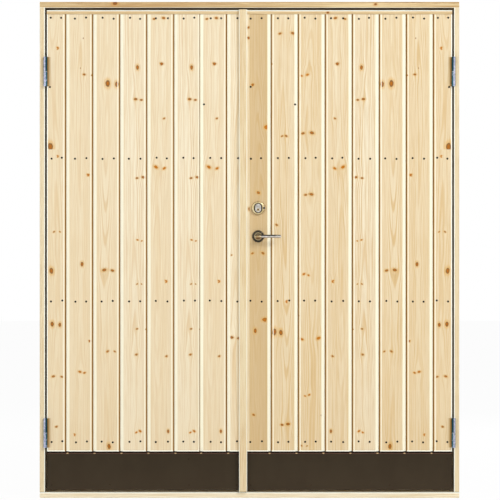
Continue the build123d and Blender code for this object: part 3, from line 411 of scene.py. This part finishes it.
def board_paint():
    """Tongued boards, each with its own tone, grain and knots."""
    paint = Paint("boarding_pine", Roughness=0.62, Specular_IOR_Level=0.12)
    left, run, board, along_board = board_places(paint)
    # On the left leaf boards 5 and 6 repeat 3 and 4, and the last has knots of its own
    copied = left * (board > 4.5) * (board < 6.5) * 2.0
    pattern = board - copied + left * (board > 6.5)
    offset, height, size, twin = nearest_knot(paint, pattern)
    luck = paint.draw(height * 91.0 + pattern)
    first = board < 0.5
    towards_hinge = 0.5 * BOARD + first * (0.5 * BOARD - 0.5 * HINGE_BOARD) - along_board
    gone_x = towards_hinge - offset
    gone_z = paint.z - height
    lean = (luck - 0.5) * 1.5
    # A few knots stand upright, and the others lie across the grain
    oval = 1.5 - 0.85 * ((luck > 0.36) * (luck < 0.52))
    knot = knot_reach(paint, gone_x, gone_z, size, lean, oval)
    other = knot_reach(paint, gone_x - twin, gone_z + 0.006 * luck, size * 0.8, 0.0 - lean, oval)
    knot = paint.math("MINIMUM", knot, other) + frayed(paint)
    # Grain bends round the knot: points beside it are read from nearer its middle
    away = (gone_x * gone_x + gone_z * gone_z * 0.3) / (size * size)
    swept = offset + gone_x * (1.0 - 0.7 * paint.math("EXPONENT", away * -0.12))
    chance = paint.draw(pattern + 0.5)
    seed = pattern * 5.0 + chance
    colour, relief = pine_coat(paint, swept, paint.y - FRONT, paint.z, seed, BOARD_TONES)
    colour = paint.mix(colour, shade("DFC494"), chance * 0.45)
    # Warmer towards the foot, redder beside the meeting strip, and painted light that makes the
    # left leaf paler
    colour = paint.mix(colour, shade("D9B982"), paint.ease(1.5 - paint.z, 0.0, 1.4) * 0.22)
    honey = (board > 6.5) * (paint.x > 0.0)
    colour = paint.mix(colour, shade("C6A672"), honey * 0.6)
    # Painted light: the left leaf's boards paler
    colour = paint.mix(colour, shade("F7EDD4"), left * 0.22)
    # Pin knots: a dark fleck in a few of the cells of a coarse grid
    cell = paint.node(
        "ShaderNodeTexVoronoi",
        {"Vector": paint.pack(swept * 9.0, seed, paint.z * 5.5), "Scale": 1.0},
        output="Distance",
    )
    pins = 1.0 - paint.ease(cell, 0.012, 0.03)
    colour = paint.mix(colour, shade("9A6232"), pins * 0.8)
    # Knots: an amber halo, a rim that is brown or, on some, pale, and an orange core
    halo = 1.0 - paint.ease(knot, 0.8, 2.4)
    rim = (1.0 - paint.ease(knot, 0.8, 1.1)) * (0.65 + 0.35 * luck)
    rim_colour = paint.mix(shade("5E3004"), shade("B87420"), paint.ease(luck, 0.6, 0.75))
    core = 1.0 - paint.ease(knot, 0.3, 0.85)
    colour = paint.mix(colour, shade("DDA84C"), halo * 0.6)
    colour = paint.mix(colour, rim_colour, rim)
    colour = paint.mix(colour, shade("C06E14"), core * 0.75)
    paint.feed(Base_Color=board_edges(paint, colour, run, board, along_board))
    paint.bump(relief - rim * 0.8, 0.35, 0.0006)
    return paint.material


def plank_paint(name, grain, tones, seed, knots=(), edge=None, dark=None):
    """Bare pine of a frame member, stile, rail or strip, with its grain along "X" or "Z".

    knots are (x, z, radius) on its front. edge and dark are functions of the paint that mark,
    from 0 to 1, the painted highlights along edges and the painted shade on an arris beside a gap.
    """
    paint = Paint(name, Roughness=0.62, Specular_IOR_Level=0.2)
    along, across = (paint.z, paint.x) if grain == "Z" else (paint.x, paint.z)
    near = paint.math("ROUND", across * 6.0)
    slanted = across + paint.y * SLANT
    colour, relief = pine_coat(paint, slanted, paint.y, along, near + float(seed), tones)
    for x, z, radius in knots:
        knot = knot_reach(paint, paint.x - x, paint.z - z, radius, 0.15) + frayed(paint)
        colour = paint.mix(colour, shade("CF9448"), (1.0 - paint.ease(knot, 0.8, 2.6)) * 0.7)
        colour = paint.mix(colour, shade("743E0C"), 1.0 - paint.ease(knot, 0.7, 1.15))
        colour = paint.mix(colour, shade("A9661E"), (1.0 - paint.ease(knot, 0.2, 0.8)) * 0.8)
    # Painted highlights along the edges
    if edge is not None:
        colour = paint.mix(colour, shade("FFFFF0"), edge(paint) * 0.9)
    # Painted shade on the arris beside a gap
    if dark is not None:
        colour = paint.mix(colour, shade("17120C"), dark(paint))
    paint.feed(Base_Color=colour)
    paint.bump(relief, 0.35, 0.0006)
    return paint.material


def strip_edge(paint):
    """Painted highlights along the meeting strip's edges."""
    side = paint.math("ABSOLUTE", paint.x - STRIP_MIDDLE)
    return paint.ease(side, *STRIP_HIGHLIGHT)


def jamb_edge(paint):
    """Painted highlight along a jamb's edge, just outside its painted shade."""
    side = paint.math("ABSOLUTE", paint.x)
    return (side > JAMB_ARRIS) * (side < JAMB_ARRIS + JAMB_HIGHLIGHT) * (paint.y < FRAME_FRONT)


def jamb_dark(paint):
    """Painted shade on a jamb's arris beside the gap, on its front only."""
    return (paint.math("ABSOLUTE", paint.x) < JAMB_ARRIS) * (paint.y < FRAME_FRONT)


def head_edge(paint):
    """Painted highlight along the lower edge of the head's front, over the gap."""
    return (paint.z < HEAD_OPENING + HIGHLIGHT_WIDTH) * (paint.y < FRAME_FRONT)


def sill_edge(paint):
    """Painted highlight along the upper edge of the sill's front, just under its painted shade."""
    return (paint.z > SILL_ARRIS - HIGHLIGHT_WIDTH) * (paint.z < SILL_ARRIS) * (paint.y < FRAME_FRONT)


def sill_dark(paint):
    """Painted shade on the sill's arris under the gap, on its front only."""
    return (paint.z > SILL_ARRIS) * (paint.y < FRAME_FRONT)


def top_edge(paint):
    """Painted highlight along the top strip's edge, just under its painted shade."""
    return (paint.z > TOP_ARRIS - TOP_HIGHLIGHT) * (paint.z < TOP_ARRIS)


def top_dark(paint):
    """Painted shade on the top strip's arris beside the gap over the leaf."""
    return paint.z > TOP_ARRIS


def foot_dark(paint):
    """Painted shade on the core between the boards' feet and the kick plate."""
    return (paint.z > FOOT_BAND[0]) * (paint.z < FOOT_BAND[1]) * (paint.y < CORE_FRONT)


def film_paint():
    """Phenolic film on the kick plates: dark brown, mottled, paler on top, with painted light under
    joints.
    """
    paint = Paint("kick_film", Roughness=0.5, Specular_IOR_Level=0.15)
    mottle = paint.stretched(14.0, 14.0, 10.0, detail=3.0)
    speck = paint.stretched(240.0, 240.0, 240.0)
    rise = paint.ease(paint.z, 0.03, 0.19)
    colour = paint.mix(shade("3C3122"), shade("352B1C"), rise)
    colour = paint.tint(colour, shade("D8CFC4"), paint.ease(mottle, 0.35, 0.7) * 0.35)
    top = paint.z > FILM_TOP
    colour = paint.mix(colour, shade("5A4033"), top)
    _, _, _, along_board = board_places(paint)
    # Painted light: pale patches on the film's top under each joint
    light_patch = top * (along_board > FILM_LIGHT_PATCH[0]) * (along_board < FILM_LIGHT_PATCH[1])
    colour = paint.mix(colour, shade("D8B68A"), light_patch * 0.85)
    paint.feed(Base_Color=colour, Roughness=0.42 + speck * 0.16)
    paint.bump(speck, 0.15, 0.0002)
    return paint.material


def round_distance(paint, level, across=SPINDLE_X):
    """Distance from the axis through (across, level) square to the door's face."""
    side = paint.x - across
    rise = paint.z - level
    return (side * side + rise * rise) ** 0.5


def speckled(paint, light, dark, grain):
    """Two close metal tones in patches, and the fine grain that roughens them."""
    patch = paint.stretched(grain, grain, grain, detail=3.0)
    fine = paint.stretched(grain * 9, grain * 9, grain * 9)
    return paint.mix(shade(light), shade(dark), paint.ease(patch, 0.35, 0.65)), fine


def metal_finish(paint, colour, roughness, fine):
    """Feeds a metal's colour, its varied roughness and its faint relief."""
    paint.feed(Base_Color=colour, Roughness=roughness + (fine - 0.5) * 0.2)
    paint.bump(fine, 0.12, 0.0002)
    return paint.material


def hinge_paint():
    """Hot zinc: pale and speckled on the jamb's side of the knuckle, painted shade in dark teal on
    the leaf's.
    """
    paint = Paint("hot_zinc", Metallic=0.8)
    colour, fine = speckled(paint, "B9BCD2", "8C95AE", 150.0)
    towards_leaf = HINGE_AXIS - paint.math("ABSOLUTE", paint.x)
    upper = beside_hinges(paint, 0.5)
    spangle = paint.stretched(120.0, 120.0, 90.0)
    outer = paint.ease(towards_leaf, -0.0035, -0.0050) * paint.ease(spangle, 0.48, 0.58)
    colour = paint.mix(colour, shade("4C6B5E"), outer * 0.8)
    # Painted shade in dark teal on the knuckle's leaf side, wider on its upper half
    dark_upper = paint.ease(towards_leaf, -0.0008, 0.0006) * upper
    dark_lower = paint.ease(towards_leaf, 0.0010, 0.0026) * (1.0 - upper)
    dark_lower = dark_lower * (0.35 + 0.9 * paint.ease(spangle, 0.4, 0.56))
    colour = paint.mix(colour, shade("0E3A46"), dark_upper)
    colour = paint.mix(colour, shade("2C5A66"), dark_lower)
    return metal_finish(paint, colour, 0.45, fine)


def rosette_paint():
    """Dark nickel of the roses, rubbed pale round the neck, with a dark seam in it."""
    paint = Paint("rose_nickel", Metallic=0.9)
    colour, fine = speckled(paint, "524B3E", "2E2A24", 160.0)
    away = round_distance(paint, LEVER_LEVEL)
    rubbed = paint.ease(away, 0.0168, 0.0148)
    colour = paint.mix(colour, shade("D9C48F"), rubbed)
    seam = paint.ease(away, 0.0135, 0.0125) * paint.ease(away, 0.0105, 0.0115)
    colour = paint.mix(colour, shade("120D08"), seam * 0.85)
    return metal_finish(paint, colour, 0.35, fine)


def lever_paint():
    """Satin nickel of a lever: brassy round its neck, painted reflection dark on the bar's top,
    painted shade below.
    """
    paint = Paint("lever_nickel", Metallic=1.0)
    colour, fine = speckled(paint, "D9D6D2", "BDB8B0", 90.0)
    away = round_distance(paint, LEVER_LEVEL)
    brassy = 1.0 - paint.ease(away, 0.010, 0.016)
    colour = paint.mix(colour, shade("C3A668"), brassy * 0.7)
    # Painted reflection: dark along the bar's top
    top = paint.ease(paint.z, LEVER_LEVEL + 0.0004, LEVER_LEVEL + 0.0022)
    colour = paint.mix(colour, shade("1E1810"), top * (1.0 - brassy * 0.35))
    # Painted shade: brown along the bar's lower edge
    under = paint.ease(paint.z, LEVER_LEVEL - 0.0042, LEVER_LEVEL - 0.0054)
    colour = paint.mix(colour, shade("6E4A2A"), under * 0.85)
    return metal_finish(paint, colour, 0.3, fine)


def ring_paint():
    """Pale brass-toned ring about the cylinder, with brown painted shade at its foot, and a dark
    lug.
    """
    paint = Paint("ring_brass", Metallic=0.9)
    colour, fine = speckled(paint, "DCCB9F", "C4AE7C", 90.0)
    away = round_distance(paint, CYLINDER_LEVEL)
    # Painted shade: brown round the ring's foot
    foot = paint.ease(away, RING_FRONT + 0.001, RING_FRONT + 0.003)
    colour = paint.mix(colour, shade("7F6233"), foot * 0.8)
    lug = round_distance(paint, CYLINDER_LEVEL, SPINDLE_X + RING_FRONT)
    colour = paint.mix(colour, shade("57534D"), 1.0 - paint.ease(lug, 0.0043, 0.0050))
    return metal_finish(paint, colour, 0.3, fine)


def cylinder_paint():
    """Nickel cylinder, with black painted shade where it lies back in its ring."""
    paint = Paint("cylinder_nickel", Metallic=0.9)
    colour, fine = speckled(paint, "D3CFC8", "A9A49C", 120.0)
    # Painted shade: black where the cylinder lies back in its ring
    low = paint.ease(paint.y, FRONT - 0.0075, FRONT - 0.0045)
    colour = paint.mix(colour, shade("14120F"), low)
    return metal_finish(paint, colour, 0.32, fine)


def plug_paint():
    """The keyed plug: pale brass, red-brown in the middle of its face."""
    paint = Paint("plug_brass", Metallic=0.6)
    colour, fine = speckled(paint, "D8C9A0", "B8A67C", 200.0)
    keyway = 1.0 - paint.ease(round_distance(paint, PLUG_LEVEL), 0.0030, 0.0045)
    colour = paint.mix(colour, shade("4A1204"), keyway * 0.9)
    return metal_finish(paint, colour, 0.35, fine)


def metal_paint(name, light, dark, roughness, grain):
    """Bare or plated metal: two close tones in patches, with a roughness that varies."""
    paint = Paint(name, Metallic=1.0)
    colour, fine = speckled(paint, light, dark, grain)
    return metal_finish(paint, colour, roughness, fine)


def nail_paint():
    """Dull dark steel of the nail heads."""
    paint = Paint("nail_steel", Metallic=0.2, Specular_IOR_Level=0.1)
    patch = paint.stretched(300.0, 300.0, 300.0)
    colour = paint.mix(shade("1E1A13"), shade("0F0C08"), patch)
    paint.feed(Base_Color=colour, Roughness=0.5 + patch * 0.2)
    paint.bump(patch, 0.2, 0.0001)
    return paint.material


def seal_paint():
    """Black rubber of the weather seal."""
    paint = Paint("seal_rubber", Roughness=0.75, Specular_IOR_Level=0.3)
    dust = paint.stretched(60.0, 60.0, 12.0, detail=3.0)
    paint.feed(Base_Color=paint.mix(shade("1A1A19"), shade("2B2A28"), dust))
    paint.bump(dust, 0.1, 0.0002)
    return paint.material


# Finishes by node
paints = {
    "boards": board_paint(),
    "top_strip": plank_paint("top_strip_pine", "X", TOP_TONES, 11, TOP_KNOTS, top_edge, top_dark),
    "upright": plank_paint("upright_pine", "Z", CORE_TONES, 3, dark=foot_dark),
    "jamb": plank_paint("jamb_pine", "Z", CORE_TONES, 3, edge=jamb_edge, dark=jamb_dark),
    "rail": plank_paint("rail_pine", "X", CORE_TONES, 5, dark=foot_dark),
    "head": plank_paint("head_pine", "X", HEAD_TONES, 23, HEAD_KNOTS, head_edge),
    "sill": plank_paint("sill_pine", "X", SILL_TONES, 31, (), sill_edge, sill_dark),
    "strip": plank_paint("strip_pine", "Z", STRIP_TONES, 41, edge=strip_edge),
    "film": film_paint(),
    "zinc": hinge_paint(),
    "bright_zinc": metal_paint("bright_zinc", "B4B8C0", "959BA3", 0.34, 60.0),
    "nickel": metal_paint("satin_nickel", "C2BAAC", "A59B88", 0.3, 70.0),
    "lever": lever_paint(),
    "rosette": rosette_paint(),
    "ring": ring_paint(),
    "cylinder": cylinder_paint(),
    "plug": plug_paint(),
    "lock_steel": metal_paint("lock_steel", "B9B5AC", "8F8A80", 0.4, 80.0),
    "brown": metal_paint("brown_screws", "4A3C30", "33291F", 0.5, 200.0),
    "rubber": seal_paint(),
    "nail": nail_paint(),
}
finish = {
    "boards": ["left_boards", "right_boards"],
    "top_strip": ["left_top_strip", "right_top_strip"],
    "jamb": ["left_jamb", "right_jamb"],
    "upright": [
        "left_hinge_stile", "left_meeting_stile", "right_hinge_stile", "right_meeting_stile",
    ],
    "rail": ["left_rails", "right_rails"],
    "head": ["frame_head"],
    "sill": ["frame_sill"],
    "strip": ["meeting_strip"],
    "film": ["left_kick_plate", "right_kick_plate"],
    "zinc": ["hinge_frame_halves", "left_hinge_halves", "right_hinge_halves"],
    "bright_zinc": [
        "hinge_pins", "hinge_washers", "hinge_frame_screws", "left_hinge_screws",
        "right_hinge_screws", "bolt_brackets", "bracket_screws", "bolt_keeps", "keep_screws",
        "upper_bolt", "lower_bolt", "meeting_strip_screws", "lever_spindle", "lock_follower",
    ],
    "nickel": ["turn_rosette", "thumb_turn"],
    "lever": ["outer_lever", "inner_lever"],
    "rosette": ["outer_rosette", "inner_rosette"],
    "ring": ["cylinder_ring"],
    "cylinder": ["lock_cylinder"],
    "plug": ["key_plug"],
    "lock_steel": [
        "lock_case", "lock_forend", "forend_screws", "strike_plate", "strike_screws",
        "latch_bolt", "dead_bolt",
    ],
    "brown": ["left_kick_screws", "right_kick_screws"],
    "rubber": ["frame_seals"],
}
for coat, names in finish.items():
    for name in names:
        for slot in nodes[name].material_slots:
            slot.material = paints[coat]

# Wire nails: rows on every board, a pair to each, and a few odd ones (x, z), in metres
NAIL_ROWS = (2.0210, 1.4310, 0.8290, 0.2360)
NAIL_HALF_PAIR = 0.0230
NAIL_SHIFT = 0.0055
NAIL_RADIUS = 0.0044
NAIL_PROFILE = ((1.0, -0.0004), (1.0, 0.0004), (0.72, 0.0009), (0.35, 0.0011))
NAIL_SIDES = 10
NAIL_JITTER = 0.003
ODD_NAILS = ((0.841, 1.731), (0.005, 1.732), (0.192, 1.658))
STRIP_EDGE = 0.040


def nail_spots(side):
    """Two nails to a board in every row, jittered alike on both leaves, and the odd nails.

    A pair lies about the board's middle, moved NAIL_SHIFT towards the meeting line. The left
    leaf has none nearer to that line than STRIP_EDGE.
    """
    chance = np.random.default_rng(7)
    starts = np.concatenate([[0.0], HINGE_BOARD + BOARD * np.arange(BOARDS - 1)])
    ends = np.append(starts[1:], HINGE_BOARD + BOARD * (BOARDS - 1))
    middle = 0.5 * (starts + ends) + NAIL_SHIFT * (starts > 0.0)
    run = np.concatenate([middle - NAIL_HALF_PAIR, middle + NAIL_HALF_PAIR])
    run, level = np.meshgrid(run, NAIL_ROWS)
    spots = np.stack([LEAF_EDGE - run.ravel(), level.ravel()], axis=1)
    spots = spots + chance.uniform(-NAIL_JITTER, NAIL_JITTER, spots.shape)
    spots = np.concatenate([spots, ODD_NAILS])
    if side < 0:
        spots = spots[spots[:, 0] > STRIP_EDGE]
    return spots * (side, 1.0)


def nail_heads(name, spots, body):
    """Domed nail heads on the boards: one profile, turned about each spot.

    The profile gives shares of the radius, and how far each stands out of the boards. A point is
    the spot plus the radius times cosine and sine of the turn, standing out by that much.
    """
    radius, stand = np.array(NAIL_PROFILE).T
    radius = radius * NAIL_RADIUS
    steps = np.arange(NAIL_SIDES)
    turn = steps * 2 * np.pi / NAIL_SIDES
    ring_x = radius[:, None] * np.cos(turn)
    ring_z = radius[:, None] * np.sin(turn)
    x = spots[:, 0, None, None] + ring_x[None]
    z = spots[:, 1, None, None] + ring_z[None]
    y = np.broadcast_to(FRONT - stand[None, :, None], x.shape)
    points = np.stack([x, y, z], axis=-1).reshape(-1, 3)
    rows, cols = np.meshgrid(np.arange(len(radius) - 1), steps, indexing="ij")
    here = rows * NAIL_SIDES + cols
    beside = rows * NAIL_SIDES + (cols + 1) % NAIL_SIDES
    quads = np.stack([here, beside, beside + NAIL_SIDES, here + NAIL_SIDES], -1).reshape(-1, 4)
    caps = [(len(radius) - 1) * NAIL_SIDES + steps, steps[::-1]]
    faces = []
    for first in range(0, len(points), len(radius) * NAIL_SIDES):
        faces += (quads + first).tolist() + [(cap + first).tolist() for cap in caps]
    mesh = bpy.data.meshes.new(name)
    mesh.from_pydata(points.tolist(), [], faces)
    piece = bpy.data.objects.new(name, mesh)
    bpy.context.scene.collection.objects.link(piece)
    mesh.materials.append(paints["nail"])
    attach(piece, body)
    return piece


nail_heads("right_nails", nail_spots(1), "right_leaf")
nail_heads("left_nails", nail_spots(-1), "left_leaf")


# Floor, light and camera
def white_backdrop(name, hold):
    """A pale surface that the camera and reflections see as white, less a little shadow."""
    material = bpy.data.materials.new(name)
    material.use_nodes = True
    tree = material.node_tree
    shader = tree.nodes["Principled BSDF"]
    shader.inputs["Base Color"].default_value = (0.9, 0.9, 0.9, 1.0)
    shader.inputs["Roughness"].default_value = 0.9
    glow = tree.nodes.new("ShaderNodeEmission")
    glow.inputs["Strength"].default_value = 1.0
    rays = tree.nodes.new("ShaderNodeLightPath")
    seen = tree.nodes.new("ShaderNodeMath")
    seen.operation = "MAXIMUM"
    tree.links.new(rays.outputs["Is Camera Ray"], seen.inputs[0])
    tree.links.new(rays.outputs["Is Glossy Ray"], seen.inputs[1])
    share = tree.nodes.new("ShaderNodeMath")
    share.operation = "MULTIPLY"
    share.inputs[1].default_value = hold
    tree.links.new(seen.outputs[0], share.inputs[0])
    blend = tree.nodes.new("ShaderNodeMixShader")
    tree.links.new(share.outputs[0], blend.inputs[0])
    tree.links.new(shader.outputs[0], blend.inputs[1])
    tree.links.new(glow.outputs[0], blend.inputs[2])
    tree.links.new(blend.outputs[0], tree.nodes["Material Output"].inputs["Surface"])
    return material


FAR = 30.0
corners = [(-FAR, -FAR, 0), (FAR, -FAR, 0), (FAR, FAR, 0), (-FAR, FAR, 0)]
floor_mesh = bpy.data.meshes.new("floor")
floor_mesh.from_pydata(corners, [], [(0, 1, 2, 3)])
floor = bpy.data.objects.new("floor", floor_mesh)
bpy.context.scene.collection.objects.link(floor)
floor_mesh.materials.append(white_backdrop("pale_floor", 0.95))

world = bpy.data.worlds.new("studio")
bpy.context.scene.world = world
world.use_nodes = True
tree = world.node_tree
back = tree.nodes["Background"]
back.inputs["Color"].default_value = (1.0, 1.0, 1.0, 1.0)
back.inputs["Strength"].default_value = 0.45
white = tree.nodes.new("ShaderNodeBackground")
white.inputs["Color"].default_value = (1.0, 1.0, 1.0, 1.0)
rays = tree.nodes.new("ShaderNodeLightPath")
sight = rays.outputs["Is Camera Ray"]
for kind in ("Is Glossy Ray", "Is Transmission Ray"):
    either = tree.nodes.new("ShaderNodeMath")
    either.operation = "MAXIMUM"
    tree.links.new(sight, either.inputs[0])
    tree.links.new(rays.outputs[kind], either.inputs[1])
    sight = either.outputs[0]
blend = tree.nodes.new("ShaderNodeMixShader")
tree.links.new(sight, blend.inputs[0])
tree.links.new(back.outputs[0], blend.inputs[1])
tree.links.new(white.outputs[0], blend.inputs[2])
tree.links.new(blend.outputs[0], tree.nodes["World Output"].inputs["Surface"])


AIM = Vector((0.0, 0.0, 1.0))


def soft_lamp(name, place, size, watts):
    """A square area lamp at place that points at AIM."""
    lamp = bpy.data.lights.new(name, "AREA")
    lamp.shape = "SQUARE"
    lamp.size = size
    lamp.energy = watts
    rig = bpy.data.objects.new(name, lamp)
    bpy.context.scene.collection.objects.link(rig)
    rig.location = place
    rig.rotation_euler = (AIM - Vector(place)).to_track_quat("-Z", "Y").to_euler()


soft_lamp("key", (4.4, -6.4, 5.4), 2.4, 352.0)
soft_lamp("fill", (-4.4, -5.6, 2.0), 2.8, 100.0)
soft_lamp("rear", (1.5, 4.5, 3.5), 3.0, 105.0)

# The photo is 500 pixels wide, at 4.214 mm to a pixel on the boards
VIEW_WIDTH = 500 * 0.004214
VIEW_MIDDLE = (0.0021, 1.0444)
DISTANCE = 12.0
SENSOR = 36.0
camera = bpy.data.objects.new("camera", bpy.data.cameras.new("camera"))
bpy.context.scene.collection.objects.link(camera)
camera.location = (VIEW_MIDDLE[0], FRONT - DISTANCE, VIEW_MIDDLE[1])
camera.rotation_euler = (np.pi / 2, 0, 0)
camera.data.sensor_width = SENSOR
camera.data.lens = SENSOR * DISTANCE / VIEW_WIDTH
camera.data.clip_end = 100.0
bpy.context.scene.camera = camera
bpy.context.scene.view_settings.view_transform = "Standard"
